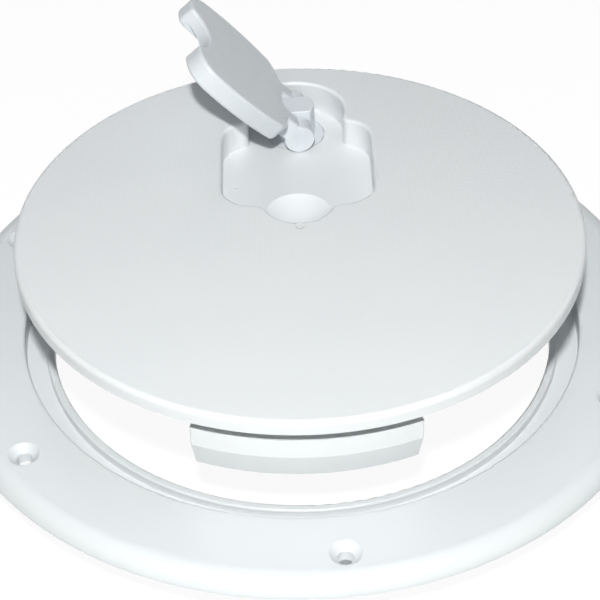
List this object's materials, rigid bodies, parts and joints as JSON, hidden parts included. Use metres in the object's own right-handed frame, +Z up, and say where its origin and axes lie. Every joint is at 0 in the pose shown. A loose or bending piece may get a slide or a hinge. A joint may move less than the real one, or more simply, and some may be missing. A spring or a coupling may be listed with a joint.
{
  "type": "deck inspection plate",
  "caption": "Round screw-down deck inspection plate: moulded ring, lid lifted clear with a hooking tongue, and a fold-down turning handle with a cam below.",
  "frame": {"origin": "centre of the ring's screw circle on the deck plane, which is the underside of the flange", "axes": "+Z up out of the deck along the ring's axis, -Y towards the lid's tongue, +Y towards its latch"},
  "size_m": [0.24, 0.24, 0.0972],
  "materials": {
    "ring_plastic": "smooth moulded white plastic",
    "lid_plastic": "moulded white plastic with a fine non-slip grain on top",
    "latch_plastic": "smooth moulded white plastic",
    "seal_rubber": "black rubber",
    "stainless": "bright stainless steel"
  },
  "bodies": {
    "ring": {"mounting_ring": "ring_plastic"},
    "lid": {"lid_panel": "lid_plastic", "lid_seal": "seal_rubber"},
    "latch": {"latch_spindle": "latch_plastic", "spindle_seal": "seal_rubber", "latch_cam": "latch_plastic", "cam_washer": "stainless", "cam_screw": "stainless"},
    "handle": {"latch_handle": "latch_plastic", "hinge_pin": "latch_plastic"}
  },
  "joints": [
    {"name": "lid_lift", "type": "slide", "parent": "ring", "child": "lid", "axis": [0, 0, 1], "range_m": [-0.014, 0.06]},
    {"name": "latch_turn", "type": "hinge", "parent": "lid", "child": "latch", "pos_m": [-0.00063, 0.0659, 0.04], "axis": [0, 0, 1], "range_deg": [-5, 85]},
    {"name": "handle_raise", "type": "hinge", "parent": "latch", "child": "handle", "pos_m": [-0.00063, 0.0659, 0.0392], "axis": [-0.1236, 0.9923, 0], "range_deg": [0, 46]}
  ]
}
